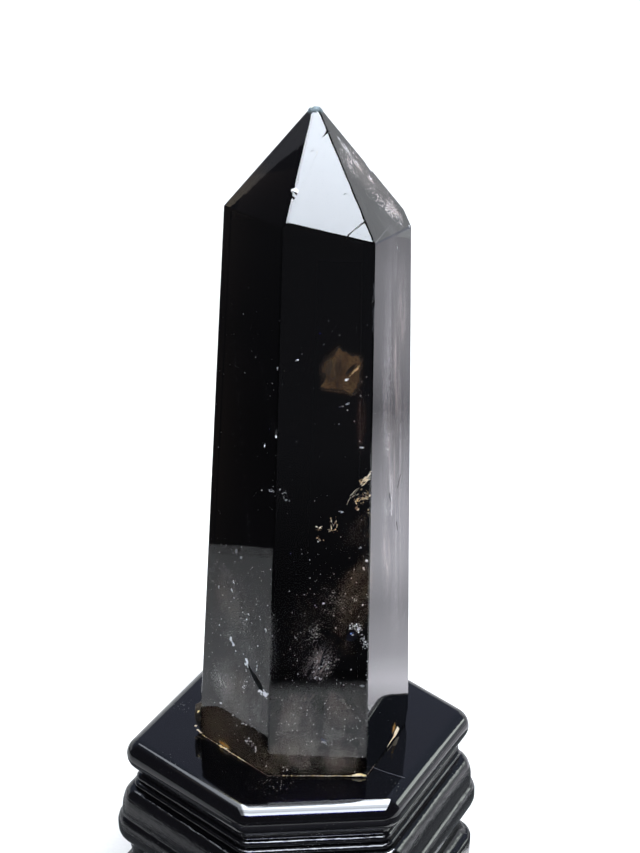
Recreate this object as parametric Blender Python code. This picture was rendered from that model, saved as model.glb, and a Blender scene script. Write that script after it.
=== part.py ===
"""A tall polished point of dark smoky quartz, resting on the black lacquered six-sided wooden stand made for it."""

import math

import bmesh
import bpy
from mathutils import Matrix, Vector, noise

MM = 0.001
GAP = 0.3 * MM

# Stand: each side's bearing in degrees and its distance from the middle, measured on the top board
STAND_SIDES = (
    (41.1, 39.2 * MM),
    (96.0, 39.0 * MM),
    (157.3, 37.4 * MM),
    (226.2, 39.2 * MM),
    (276.3, 39.2 * MM),
    (333.7, 37.3 * MM),
)
STAND_HEIGHT = 44.0 * MM
CORNER_RADIUS = 5.5 * MM
CORNER_STEPS = 5
BOARD_THICKNESS = 8.2 * MM
BOARD_ROUNDING = 4.0 * MM
WIDEST_BEAD = 2.7 * MM
NECK_INSET = 3.7 * MM
NECK_DEPTH = 9.8 * MM
WAIST_INSET = 0.7 * MM
FOOT_REACH = 2.4 * MM
FOOT_ROUNDING = 0.7 * MM

# Crystal: each upright face's bearing in degrees, its distance from the stand's middle at the base,
# and its lean in degrees
PRISM_FACES = {
    "front": (271.8, 25.4 * MM, 1.98),
    "right": (336.6, 24.9 * MM, 1.67),
    "back_right": (37.4, 23.05 * MM, 2.02),
    "back": (92.0, 19.5 * MM, 2.0),
    "back_left": (157.3, 21.1 * MM, 2.44),
    "left": (224.5, 23.5 * MM, 1.92),
}
# Each face of the crown, which all pass through the point: bearing and slope from level, in degrees
CROWN_FACES = {
    "front_crown": (280.3, 54.6),
    "right_crown": (337.8, 55.2),
    "back_right_crown": (38.0, 51.6),
    "back_crown": (93.0, 54.0),
    "back_left_crown": (157.0, 53.7),
    "left_crown": (227.5, 54.1),
}
SHARP_POINT = Vector((0.5, -3.0, 159.2)) * MM
TIP_WORN = (10.0, 12.0, 1.3 * MM)
EDGE_BEVEL = 0.25 * MM
BLOCK_SIZE = 0.4

# Bites out of the crystal's edges: the two faces that meet there, height, half width and half height
CHIPS = (
    ("left", "front", 0.2, 1.2, 0.9),
    ("left", "front", 88.0, 0.7, 1.2),
    ("front", "right", 0.3, 1.5, 1.0),
    ("front", "right", 118.5, 0.8, 1.3),
    ("right", "back_right", 0.6, 2.4, 3.0),
    ("back_left", "left", 0.2, 1.1, 1.4),
    ("back", "back_left", 0.2, 1.8, 1.6),
    ("back_right", "back", 0.2, 1.6, 1.3),
    ("back_right", "back", 61.0, 0.9, 1.5),
    ("left_crown", "front_crown", 140.5, 0.7, 0.7),
    ("right_crown", "back_right_crown", 144.8, 0.9, 1.4),
    ("front_crown", "right_crown", 153.4, 0.5, 0.8),
)
# Rough stub of the natural crust left at the foot, behind the left edge
CRUST_PLACE = Vector((-24.6, -5.0, 4.6)) * MM
CRUST_SIZE = Vector((2.6, 2.8, 4.3)) * MM


def clear_scene():
    for obj in list(bpy.data.objects):
        bpy.data.objects.remove(obj, do_unlink=True)


def material(name, colour, roughness, transmission=0.0, ior=1.5):
    mat = bpy.data.materials.new(name)
    mat.use_nodes = True
    shader = mat.node_tree.nodes["Principled BSDF"]
    shader.inputs["Base Color"].default_value = (*colour, 1.0)
    shader.inputs["Roughness"].default_value = roughness
    shader.inputs["Transmission Weight"].default_value = transmission
    shader.inputs["IOR"].default_value = ior
    return mat


def object_from(bm, name, mat=None):
    bmesh.ops.recalc_face_normals(bm, faces=bm.faces)
    mesh = bpy.data.meshes.new(name)
    bm.to_mesh(mesh)
    bm.free()
    obj = bpy.data.objects.new(name, mesh)
    bpy.context.scene.collection.objects.link(obj)
    if mat:
        mesh.materials.append(mat)
    return obj


def corner_centre(side_a, side_b):
    """Middle of the arc that rounds the corner between two sides."""
    a, b = math.radians(side_a[0]), math.radians(side_b[0])
    da, db = side_a[1] - CORNER_RADIUS, side_b[1] - CORNER_RADIUS
    turn = math.sin(b - a)
    x = (da * math.sin(b) - db * math.sin(a)) / turn
    y = (db * math.cos(a) - da * math.cos(b)) / turn
    return Vector((x, y))


def stand_outline(grow):
    """The stand's rounded six-sided outline, grown outwards by grow all round."""
    points = []
    for index, side in enumerate(STAND_SIDES):
        following = STAND_SIDES[(index + 1) % len(STAND_SIDES)]
        centre = corner_centre(side, following)
        sweep = (following[0] - side[0]) % 360.0
        for step in range(CORNER_STEPS + 1):
            angle = math.radians(side[0] + sweep * step / CORNER_STEPS)
            points.append(centre + Vector((math.cos(angle), math.sin(angle))) * (CORNER_RADIUS + grow))
    return points


def stand_middle():
    """Middle of the stand's widest outline, which the whole part is centred on."""
    outline = stand_outline(WIDEST_BEAD)
    xs = [point.x for point in outline]
    ys = [point.y for point in outline]
    return Vector(((min(xs) + max(xs)) / 2, (min(ys) + max(ys)) / 2, 0.0))


def arc(grow, depth, reach, drop, start, end, steps):
    """Part of an ellipse in the moulding's section: 90 degrees is up, 0 outwards and -90 down."""
    angles = [math.radians(start + (end - start) * step / steps) for step in range(steps + 1)]
    return [(grow + reach * math.cos(t), depth - drop * math.sin(t)) for t in angles]


def cove(grow, depth, reach, drop):
    """A hollow quarter of an ellipse, which curves in as it goes down."""
    return [(2 * grow - outward, down) for outward, down in arc(grow, depth, reach, drop, 88, 0, 7)]


def board_section():
    """Edge of the top board: a full rounded nose from its top face to its underside."""
    half = BOARD_THICKNESS / 2
    return arc(-BOARD_ROUNDING, half, BOARD_ROUNDING, half, 90, -90, 12)


def body_section():
    """Section of the moulded body, from under the board down to the floor: outward growth and depth."""
    section = [(-NECK_INSET, BOARD_THICKNESS + GAP), (-NECK_INSET, NECK_DEPTH)]
    section += arc(-3.3 * MM, 10.9 * MM, 0.95 * MM, 1.0 * MM, 80, -80, 5)
    section += arc(-2.6 * MM, 12.75 * MM, 0.85 * MM, 0.75 * MM, 80, -80, 5)
    section += arc(-1.4 * MM, 20.0 * MM, 2.85 * MM, 6.4 * MM, 90, 0, 8)
    section += [(1.45 * MM, 21.0 * MM)]
    section += arc(1.6 * MM, 24.4 * MM, WIDEST_BEAD - 1.6 * MM, 3.1 * MM, 88, -88, 10)
    section += [(1.3 * MM, 27.8 * MM)]
    section += cove(1.3 * MM, 35.0 * MM, 1.3 * MM + WAIST_INSET, 6.8 * MM)
    section += [(-WAIST_INSET, 36.2 * MM), (0.3 * MM, 36.5 * MM), (0.3 * MM, 37.2 * MM)]
    section += arc(1.5 * MM, 38.7 * MM, 0.9 * MM, 1.3 * MM, 90, 0, 4)
    rounding_start = STAND_HEIGHT - FOOT_ROUNDING
    section += arc(FOOT_REACH - FOOT_ROUNDING, rounding_start, FOOT_ROUNDING, FOOT_ROUNDING, 0, -90, 2)
    return section


def stand_piece(name, section, mat):
    """A piece whose section runs round the stand's outline, closed with a flat face above and below."""
    middle = stand_middle()
    bm = bmesh.new()
    rings = []
    for grow, depth in section:
        outline = stand_outline(grow)
        places = [(point.x - middle.x, point.y - middle.y, STAND_HEIGHT - depth) for point in outline]
        rings.append([bm.verts.new(place) for place in places])
    for upper, lower in zip(rings, rings[1:]):
        for index in range(len(upper)):
            after = (index + 1) % len(upper)
            bm.faces.new((upper[index], lower[index], lower[after], upper[after]))
    bm.faces.new(rings[0])
    bm.faces.new(rings[-1])
    obj = object_from(bm, name, mat)
    obj.data.shade_smooth()
    obj.data.set_sharp_from_angle(angle=math.radians(32))
    return obj


def prism_plane(name):
    """A point on an upright face and its outward normal."""
    bearing, distance, lean = PRISM_FACES[name]
    turn, tilt = math.radians(bearing), math.radians(lean)
    flat = Vector((math.cos(turn), math.sin(turn), 0.0))
    return flat * distance, (flat * math.cos(tilt) + Vector((0, 0, math.sin(tilt)))).normalized()


def crown_plane(name):
    bearing, slope = (math.radians(value) for value in CROWN_FACES[name])
    flat = Vector((math.cos(bearing), math.sin(bearing), 0.0))
    return SHARP_POINT, flat * math.sin(slope) + Vector((0, 0, math.cos(slope)))


def plane_of(name):
    return prism_plane(name) if name in PRISM_FACES else crown_plane(name)


def worn_tip_plane():
    """The small facet that blunts the point."""
    bearing, tilt, worn = TIP_WORN
    turn, tilt = math.radians(bearing), math.radians(tilt)
    flat = Vector((math.cos(turn), math.sin(turn), 0.0))
    return SHARP_POINT - Vector((0, 0, worn)), flat * math.sin(tilt) + Vector((0, 0, math.cos(tilt)))


def edge_point(face_a, face_b, height):
    """Where the edge between two faces is at a height above the crystal's base."""
    rows, sides = [], []
    for point, normal in (plane_of(face_a), plane_of(face_b), (Vector((0, 0, height)), Vector((0, 0, 1)))):
        rows.append(normal)
        sides.append(normal.dot(point))
    return Matrix(rows).inverted() @ Vector(sides)


def cut_flat(bm, point, normal):
    """Cuts away what lies outside a plane and closes the cut with one facet."""
    everything = bm.verts[:] + bm.edges[:] + bm.faces[:]
    cut = bmesh.ops.bisect_plane(bm, geom=everything, plane_co=point, plane_no=normal, clear_outer=True)
    rim = [item for item in cut["geom_cut"] if isinstance(item, bmesh.types.BMEdge)]
    if rim:
        bmesh.ops.contextual_create(bm, geom=rim)


def place_on_stand(obj):
    """Moves a piece modelled about the stand's middle and from the crystal's base up to where it rests."""
    obj.data.transform(Matrix.Translation(Vector((0, 0, STAND_HEIGHT + GAP)) - stand_middle()))


def add_chips():
    """One guide object that holds every bite, each a rough flattened pebble set on its edge."""
    bm = bmesh.new()
    for index, (face_a, face_b, height, half_width, half_height) in enumerate(CHIPS):
        place = edge_point(face_a, face_b, height * MM)
        outward = (plane_of(face_a)[1] + plane_of(face_b)[1]).normalized()
        made = bmesh.ops.create_icosphere(bm, subdivisions=2, radius=1.0)["verts"]
        for vert in made:
            rough = 1.0 + 0.22 * noise.noise(vert.co * 1.3 + Vector((3.1 * index, 0.0, 0.0)))
            size = Vector((half_width, half_width, half_height)) * MM * rough
            vert.co = place + outward * 0.35 * half_width * MM + vert.co * size
    return object_from(bm, "chip_cutter")


def add_crust():
    """Guide object for the rough stub at the foot, joined to the crystal."""
    bm = bmesh.new()
    for vert in bmesh.ops.create_icosphere(bm, subdivisions=2, radius=1.0)["verts"]:
        rough = 1.0 + 0.35 * noise.noise(vert.co * 1.7)
        vert.co = CRUST_PLACE + vert.co * CRUST_SIZE * rough
        vert.co.z = max(vert.co.z, 0.0)
    return object_from(bm, "crust_guide")


def join_by_boolean(obj, guide, operation):
    guide.hide_render = True
    guide.display_type = "WIRE"
    boolean = obj.modifiers.new(guide.name, "BOOLEAN")
    boolean.operation = operation
    boolean.solver = "EXACT"
    boolean.object = guide


def build_crystal(mat):
    """A block cut flat by the six upright faces, the six crown faces and the worn tip."""
    bm = bmesh.new()
    bmesh.ops.create_cube(bm, size=BLOCK_SIZE, matrix=Matrix.Translation((0, 0, BLOCK_SIZE / 2)))
    for name in (*PRISM_FACES, *CROWN_FACES):
        cut_flat(bm, *plane_of(name))
    cut_flat(bm, *worn_tip_plane())
    bmesh.ops.bevel(bm, geom=bm.edges[:], offset=EDGE_BEVEL, segments=1, profile=0.5, affect="EDGES")
    crystal = object_from(bm, "crystal_point", mat)
    chips, crust = add_chips(), add_crust()
    for obj in (crystal, chips, crust):
        place_on_stand(obj)
    join_by_boolean(crystal, crust, "UNION")
    join_by_boolean(crystal, chips, "DIFFERENCE")
    return crystal


def main():
    clear_scene()
    lacquer_top = material("board black lacquer", (0.012, 0.012, 0.015), 0.12)
    lacquer_body = material("moulding black lacquer", (0.012, 0.012, 0.015), 0.2)
    smoky_quartz = material("smoky quartz", (0.12, 0.09, 0.07), 0.03, transmission=1.0, ior=1.544)
    stand_piece("stand_top_board", board_section(), lacquer_top)
    stand_piece("stand_moulded_body", body_section(), lacquer_body)
    build_crystal(smoky_quartz)


main()
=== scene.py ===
import math
import random

import bmesh
import bpy
from mathutils import Matrix, Vector, noise

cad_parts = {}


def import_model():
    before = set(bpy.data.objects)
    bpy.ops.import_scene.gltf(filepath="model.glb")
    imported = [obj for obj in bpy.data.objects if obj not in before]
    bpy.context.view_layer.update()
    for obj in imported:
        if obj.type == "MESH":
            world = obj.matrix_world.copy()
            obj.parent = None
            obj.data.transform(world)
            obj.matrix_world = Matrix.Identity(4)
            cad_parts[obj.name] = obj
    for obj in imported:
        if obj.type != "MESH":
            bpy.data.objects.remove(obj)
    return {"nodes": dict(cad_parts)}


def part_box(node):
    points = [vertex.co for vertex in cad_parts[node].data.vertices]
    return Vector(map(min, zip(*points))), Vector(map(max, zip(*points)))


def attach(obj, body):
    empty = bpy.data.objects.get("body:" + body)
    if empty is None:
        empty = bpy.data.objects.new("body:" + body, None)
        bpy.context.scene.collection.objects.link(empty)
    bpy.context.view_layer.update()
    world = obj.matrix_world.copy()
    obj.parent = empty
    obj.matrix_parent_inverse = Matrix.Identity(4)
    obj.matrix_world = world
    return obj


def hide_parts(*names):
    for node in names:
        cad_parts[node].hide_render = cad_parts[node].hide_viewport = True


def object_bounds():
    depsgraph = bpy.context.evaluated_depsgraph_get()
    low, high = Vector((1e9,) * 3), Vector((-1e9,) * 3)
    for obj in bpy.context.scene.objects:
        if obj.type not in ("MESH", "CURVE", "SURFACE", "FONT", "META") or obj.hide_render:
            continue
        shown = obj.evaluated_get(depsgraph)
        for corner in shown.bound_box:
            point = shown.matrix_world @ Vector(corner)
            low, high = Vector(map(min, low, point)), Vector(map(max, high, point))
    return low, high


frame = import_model()
cad_low, cad_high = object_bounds()
MM = 0.001
STONE_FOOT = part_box("crystal_point")[0].z
STAND_MIDDLE = Vector((0.114, -0.039, 0.0)) * MM

# Upright faces of the stone: bearing in degrees, distance of the foot from the middle in mm, lean in degrees
UPRIGHT_FACES = {
    "front": (271.8, 25.4, 1.98),
    "left": (224.5, 23.5, 1.92),
    "right": (336.6, 24.9, 1.67),
    "back_right": (37.4, 23.05, 2.02),
    "back": (92.0, 19.5, 2.0),
    "back_left": (157.3, 21.1, 2.44),
}
# Faces of the crown: bearing and slope in degrees, all through the sharp point
CROWN_FACES = {
    "front_crown": (280.3, 54.6),
    "right_crown": (337.8, 55.2),
    "back_right_crown": (38.0, 51.6),
    "back_crown": (93.0, 54.0),
    "back_left_crown": (157.0, 53.7),
    "left_crown": (227.5, 54.1),
}
SHARP_POINT = Vector((0.5, -3.0, 159.2)) * MM


def pick(obj):
    """Makes one object the only selected and active one."""
    for other in bpy.context.selected_objects:
        other.select_set(False)
    obj.select_set(True)
    bpy.context.view_layer.objects.active = obj


def add_object(name, data):
    """A new object in the scene that holds a mesh, a light or a camera."""
    obj = bpy.data.objects.new(name, data)
    bpy.context.scene.collection.objects.link(obj)
    return obj


def object_from(bm, name):
    """A new object whose mesh is what has been built up in bm."""
    mesh = bpy.data.meshes.new(name)
    bm.to_mesh(mesh)
    bm.free()
    return add_object(name, mesh)


def in_stone(face, along, height, depth):
    """A place in the stone, in mm: along the face, up it (down from the point on the crown), and in from it.

    Gives a matrix whose x runs along the face, y up it and z out of it.
    """
    bearing = math.radians({**UPRIGHT_FACES, **CROWN_FACES}[face][0])
    flat = Vector((math.cos(bearing), math.sin(bearing), 0.0))
    across = Vector((-math.sin(bearing), math.cos(bearing), 0.0))
    if face in UPRIGHT_FACES:
        _, distance, lean = UPRIGHT_FACES[face]
        lean = math.radians(lean)
        out = (flat * math.cos(lean) + Vector((0, 0, math.sin(lean)))).normalized()
        reach = distance * MM - flat.dot(STAND_MIDDLE) - (height * math.tan(lean) + depth) * MM
        place = across * along * MM + flat * reach + Vector((0, 0, STONE_FOOT + height * MM))
    else:
        slope = math.radians(CROWN_FACES[face][1])
        out = flat * math.sin(slope) + Vector((0, 0, math.cos(slope)))
        down = flat * math.cos(slope) - Vector((0, 0, math.sin(slope)))
        place = SHARP_POINT + Vector((0, 0, STONE_FOOT)) - STAND_MIDDLE
        place += (across * along + down * height - out * depth) * MM
    up = out.cross(across)
    turned = Matrix((across, up, out)).transposed().to_4x4()
    turned.translation = place
    return turned


# Shader building


def add_node(tree, kind, **settings):
    node = tree.nodes.new(kind)
    for name, value in settings.items():
        setattr(node, name, value)
    return node


def new_material(name):
    """A material, its tree and its Principled shader."""
    mat = bpy.data.materials.new(name)
    mat.use_nodes = True
    return mat, mat.node_tree, mat.node_tree.nodes["Principled BSDF"]


def set_plain(shader, **values):
    """Uniform values, set on the shader's own sockets."""
    for name, value in values.items():
        shader.inputs[name.replace("_", " ")].default_value = value


def put(tree, socket, value):
    """Sets a socket to a number, a colour or what another node gives."""
    if isinstance(value, bpy.types.NodeSocket):
        tree.links.new(value, socket)
    elif isinstance(value, tuple) and len(value) == 3 and socket.type == "RGBA":
        socket.default_value = (*value, 1.0)
    else:
        socket.default_value = value


def noise_at(tree, coords, scale, detail=3.0, roughness=0.5, distortion=0.0):
    node = add_node(tree, "ShaderNodeTexNoise")
    put(tree, node.inputs["Vector"], coords)
    put(tree, node.inputs["Scale"], scale)
    put(tree, node.inputs["Detail"], detail)
    put(tree, node.inputs["Roughness"], roughness)
    put(tree, node.inputs["Distortion"], distortion)
    return node.outputs["Fac"]


def remap(tree, value, low, high, to_low=0.0, to_high=1.0, smooth=False):
    node = add_node(tree, "ShaderNodeMapRange", clamp=True)
    if smooth:
        node.interpolation_type = "SMOOTHSTEP"
    put(tree, node.inputs["Value"], value)
    put(tree, node.inputs["From Min"], low)
    put(tree, node.inputs["From Max"], high)
    put(tree, node.inputs["To Min"], to_low)
    put(tree, node.inputs["To Max"], to_high)
    return node.outputs["Result"]


def maths(tree, operation, first, second=0.0):
    node = add_node(tree, "ShaderNodeMath", operation=operation)
    put(tree, node.inputs[0], first)
    put(tree, node.inputs[1], second)
    return node.outputs[0]


def mix_colour(tree, share, first, second):
    node = add_node(tree, "ShaderNodeMix", data_type="RGBA")
    put(tree, node.inputs["Factor"], share)
    put(tree, node.inputs[6], first)
    put(tree, node.inputs[7], second)
    return node.outputs[2]


def stretched(tree, coords, stretch, turn=(0.0, 0.0, 0.0)):
    """Coordinates turned and then squeezed, so that a pattern on them runs long one way."""
    node = add_node(tree, "ShaderNodeMapping", vector_type="POINT")
    put(tree, node.inputs["Vector"], coords)
    node.inputs["Rotation"].default_value = turn
    node.inputs["Scale"].default_value = stretch
    return node.outputs["Vector"]


def bump_from(tree, height, strength, distance):
    node = add_node(tree, "ShaderNodeBump")
    node.inputs["Strength"].default_value = strength
    node.inputs["Distance"].default_value = distance
    put(tree, node.inputs["Height"], height)
    return node.outputs["Normal"]


def object_coords(tree):
    return add_node(tree, "ShaderNodeTexCoord").outputs["Object"]


def new_group(name, inputs, outputs):
    """An empty node group with named sockets, and its two ends."""
    group = bpy.data.node_groups.new(name, "ShaderNodeTree")
    for label, kind, default in inputs:
        socket = group.interface.new_socket(label, in_out="INPUT", socket_type=kind)
        if default is not None:
            socket.default_value = default
    for label, kind in outputs:
        group.interface.new_socket(label, in_out="OUTPUT", socket_type=kind)
    return group, add_node(group, "NodeGroupInput"), add_node(group, "NodeGroupOutput")


def use_group(tree, group, values):
    node = add_node(tree, "ShaderNodeGroup", node_tree=group)
    for name, value in values.items():
        put(tree, node.inputs[name], value)
    return node


def speck_group():
    """Scattered specks of dust or pits: a mask that is 1 on each speck."""
    group, given, result = new_group(
        "specks",
        (
            ("Place", "NodeSocketVector", None),
            ("Fineness", "NodeSocketFloat", 900.0),
            ("Cover", "NodeSocketFloat", 0.3),
        ),
        (("Mask", "NodeSocketFloat"),),
    )
    cells = add_node(group, "ShaderNodeTexVoronoi")
    put(group, cells.inputs["Vector"], given.outputs["Place"])
    put(group, cells.inputs["Scale"], given.outputs["Fineness"])
    broad = noise_at(group, given.outputs["Place"], 90.0, 2.0)
    size = maths(group, "MULTIPLY", remap(group, broad, 0.45, 0.75), given.outputs["Cover"])
    inside = maths(group, "SUBTRACT", size, cells.outputs["Distance"])
    put(group, result.inputs["Mask"], remap(group, inside, 0.0, 0.06))
    return group


STREAK_SHARE = 0.72
GRAIN_SHARE = 0.28


def wisp_group():
    """How much a veil inside the stone covers: streaks and grains that thin out towards its edge.

    Place holds the veil's own coordinates, -1 to 1 across it both ways.
    """
    group, given, result = new_group(
        "wisps",
        (
            ("Place", "NodeSocketVector", None),
            ("Streak", "NodeSocketFloat", 3.0),
            ("Grain", "NodeSocketFloat", 14.0),
            ("Low", "NodeSocketFloat", 0.4),
            ("High", "NodeSocketFloat", 0.7),
            ("Inner", "NodeSocketFloat", 0.3),
        ),
        (("Cover", "NodeSocketFloat"), ("Grains", "NodeSocketFloat")),
    )
    place = given.outputs["Place"]
    long_way = stretched(group, place, (1.0, 0.28, 1.0))
    streaks = noise_at(group, long_way, given.outputs["Streak"], 4.0, 0.55, 0.6)
    grains = noise_at(group, place, given.outputs["Grain"], 3.0, 0.7)
    broad = maths(group, "MULTIPLY", streaks, STREAK_SHARE)
    pattern = maths(group, "ADD", broad, maths(group, "MULTIPLY", grains, GRAIN_SHARE))
    distance = add_node(group, "ShaderNodeVectorMath", operation="LENGTH")
    put(group, distance.inputs[0], place)
    ragged = maths(group, "ADD", distance.outputs["Value"], remap(group, streaks, 0.2, 0.8, -0.22, 0.22))
    fade = remap(group, ragged, 0.95, given.outputs["Inner"], 0.0, 1.0, smooth=True)
    covered = remap(group, pattern, given.outputs["Low"], given.outputs["High"], smooth=True)
    put(group, result.inputs["Cover"], maths(group, "MULTIPLY", covered, fade))
    put(group, result.inputs["Grains"], grains)
    return group


SPECKS = speck_group()
WISPS = wisp_group()


# Finishes

QUARTZ_IOR = 1.544
WHITE = (1.0, 1.0, 1.0, 1.0)
SMOKE_COLOUR = (0.40, 0.37, 0.34)
SMOKE_DENSITY = 370.0


def smoky_quartz():
    """Clear quartz stained brown-black all through, its faces polished by hand."""
    mat, tree, shader = new_material("smoky quartz")
    set_plain(
        shader, Base_Color=WHITE, Roughness=0.0, IOR=QUARTZ_IOR, Metallic=0.0, Transmission_Weight=1.0
    )
    coords = object_coords(tree)
    lap_waves = noise_at(tree, coords, 45.0, 1.0)
    upright = stretched(tree, coords, (1.0, 1.0, 0.12), (0.0, 0.25, 0.0))
    scratches = noise_at(tree, upright, 1400.0, 2.0)
    polish = maths(tree, "ADD", lap_waves, maths(tree, "MULTIPLY", scratches, 0.02))
    put(tree, shader.inputs["Normal"], bump_from(tree, polish, 0.10, 0.0003))
    smoke = add_node(tree, "ShaderNodeVolumeAbsorption")
    smoke.inputs["Color"].default_value = (*SMOKE_COLOUR, 1.0)
    smoke.inputs["Density"].default_value = SMOKE_DENSITY
    tree.links.new(smoke.outputs["Volume"], tree.nodes["Material Output"].inputs["Volume"])
    return mat


def raw_quartz(name, pale, stained, roughness=0.55, gloss=0.5):
    """Broken, unpolished quartz at the foot, stained by iron."""
    mat, tree, shader = new_material(name)
    set_plain(shader, IOR=QUARTZ_IOR, Metallic=0.0, Specular_IOR_Level=gloss)
    coords = object_coords(tree)
    stain = remap(tree, noise_at(tree, coords, 420.0, 4.0, 0.65), 0.38, 0.62)
    put(tree, shader.inputs["Base Color"], mix_colour(tree, stain, pale, stained))
    grit = noise_at(tree, coords, 2600.0, 4.0, 0.7)
    put(tree, shader.inputs["Roughness"], remap(tree, grit, 0.3, 0.7, roughness - 0.2, roughness + 0.2))
    put(tree, shader.inputs["Normal"], bump_from(tree, grit, 0.6, 0.0002))
    return mat


def veil_finish(name, pale, dark, strength, streak, grain, low, high, inner, specks=None):
    """A cloud of tiny flaws: its own colour, and cover that comes and goes in wisps.

    With specks, which are a fineness and a cover, the cloud is countless bubbles and specks instead.
    """
    mat, tree, shader = new_material(name)
    roughness = 0.5 if specks else 0.6
    set_plain(shader, Roughness=roughness, IOR=1.5, Metallic=0.0, Specular_IOR_Level=0.08)
    own = add_node(tree, "ShaderNodeAttribute", attribute_name="own_place").outputs["Vector"]
    values = {"Place": own, "Streak": streak, "Grain": grain, "Low": low, "High": high, "Inner": inner}
    wisps = use_group(tree, WISPS, values)
    cover = wisps.outputs["Cover"]
    if specks:
        dots = {"Place": object_coords(tree), "Fineness": specks[0], "Cover": specks[1]}
        cover = maths(tree, "MULTIPLY", cover, use_group(tree, SPECKS, dots).outputs["Mask"])
    tint = remap(tree, wisps.outputs["Grains"], 0.35, 0.65)
    put(tree, shader.inputs["Base Color"], mix_colour(tree, tint, dark, pale))
    put(tree, shader.inputs["Alpha"], maths(tree, "MULTIPLY", cover, strength))
    return mat


def worn_tip_painted_reflection():
    """Glassy bruised quartz of the blunted tip; its blue-grey tone is a painted reflection."""
    mat, tree, shader = new_material("worn tip painted reflection")
    set_plain(shader, IOR=QUARTZ_IOR, Metallic=0.0, Specular_IOR_Level=0.1)
    clouds = noise_at(tree, object_coords(tree), 1500.0, 3.0, 0.6)
    tone = remap(tree, clouds, 0.40, 0.60)
    # Painted reflection: dark to blue-grey colour in place of the dome's glossy reflection
    put(tree, shader.inputs["Base Color"], mix_colour(tree, tone, (0.02, 0.03, 0.035), (0.12, 0.16, 0.18)))
    put(tree, shader.inputs["Roughness"], remap(tree, clouds, 0.3, 0.7, 0.45, 0.7))
    put(tree, shader.inputs["Normal"], bump_from(tree, clouds, 0.5, 0.0002))
    return mat


def flaw_mirror(name, colour, roughness):
    """The wall of a tiny inner crack, which throws light back like a mirror."""
    mat, tree, shader = new_material(name)
    set_plain(shader, Base_Color=(*colour, 1.0), Metallic=1.0)
    ripple = noise_at(tree, object_coords(tree), 3000.0, 2.0)
    put(tree, shader.inputs["Roughness"], remap(tree, ripple, 0.3, 0.7, roughness * 0.6, roughness * 1.4))
    put(tree, shader.inputs["Normal"], bump_from(tree, ripple, 0.5, 0.0001))
    return mat


LACQUER_BLACK = (0.0025, 0.0025, 0.0035)
DUST_GREY = (0.12, 0.12, 0.12)


def black_lacquer(name, peel_strength, brushed):
    """Black gloss lacquer brushed on carved wood: slight peel, filled pores, dust."""
    mat, tree, shader = new_material(name)
    set_plain(shader, IOR=1.45, Metallic=0.0)
    coords = object_coords(tree)
    peel = noise_at(tree, coords, 420.0, 2.0, 0.5)
    brush_lines = noise_at(tree, stretched(tree, coords, (0.06, 0.06, 1.0)), 2600.0, 3.0, 0.6)
    film = maths(tree, "ADD", peel, maths(tree, "MULTIPLY", brush_lines, brushed))
    dust = use_group(tree, SPECKS, {"Place": coords, "Fineness": 1300.0, "Cover": 0.22}).outputs["Mask"]
    put(tree, shader.inputs["Normal"], bump_from(tree, film, peel_strength, 0.0005))
    put(tree, shader.inputs["Base Color"], mix_colour(tree, dust, LACQUER_BLACK, DUST_GREY))
    smear = remap(tree, noise_at(tree, coords, 35.0, 3.0), 0.35, 0.7, 0.045, 0.13)
    put(tree, shader.inputs["Roughness"], maths(tree, "ADD", smear, maths(tree, "MULTIPLY", dust, 0.3)))
    return mat


# Pieces


def own_copy(node_name, name, whole_faces=True):
    """A copy of a node's mesh with its loose triangles joined up, and flat areas made whole again."""
    mesh = frame["nodes"][node_name].data.copy()
    mesh.name = name
    obj = add_object(name, mesh)
    pick(obj)
    bpy.ops.object.mode_set(mode="EDIT")
    bpy.ops.mesh.select_all(action="SELECT")
    bpy.ops.mesh.remove_doubles(threshold=0.000002)
    if whole_faces:
        bpy.ops.mesh.dissolve_limited(angle_limit=math.radians(0.5))
    bpy.ops.object.mode_set(mode="OBJECT")
    return obj


def dress(obj, mats, slot=None, *nodes):
    """Gives a piece its materials, rides it on the part and hides the nodes that it stands in for."""
    kinds = [face.material_index for face in obj.data.polygons]
    obj.data.materials.clear()
    for mat in mats:
        obj.data.materials.append(mat)
    for face, kind in zip(obj.data.polygons, kinds):
        face.material_index = min(kind, len(mats) - 1)
    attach(obj, "root")
    if nodes:
        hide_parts(*nodes)
    return obj


def apply_all(obj):
    pick(obj)
    for modifier in list(obj.modifiers):
        bpy.ops.object.modifier_apply(modifier=modifier.name)


FACE_PLANES = {name: in_stone(name, 0.0, 0.0, 0.0) for name in (*UPRIGHT_FACES, *CROWN_FACES)}


def outside_faces(point, names, margin):
    """Whether a place stands proud of any of the named faces by more than a margin."""
    for name in names:
        face = FACE_PLANES[name]
        if (point - face.translation).dot(face.to_3x3().col[2]) > margin:
            return True
    return False


def keep_inside(point, margin):
    """The place itself, or the nearest one that lies a margin inside every face of the stone."""
    for _ in range(2):
        for face in FACE_PLANES.values():
            normal = face.to_3x3().col[2]
            over = (point - face.translation).dot(normal) + margin
            if over > 0.0:
                point = point - normal * over
    point.z = max(point.z, STONE_FOOT + margin)
    return point


def inside_stone(point, margin):
    return point.z > STONE_FOOT + margin and not outside_faces(point, FACE_PLANES, -margin)


CRUST_REACH = 12 * MM
CRUST_PROUD = 0.15 * MM


def crystal_point(crust):
    """The polished point, with a stub of its natural crust left at the foot."""
    stone = own_copy("crystal_point", "polished_quartz_point", whole_faces=False)
    dress(stone, [smoky_quartz(), crust], "smoky_quartz", "crystal_point")
    for face in stone.data.polygons:
        low = face.center.z < STONE_FOOT + CRUST_REACH
        if low and outside_faces(face.center, ("left", "back_left"), CRUST_PROUD):
            face.material_index = 1
    return stone


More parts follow.
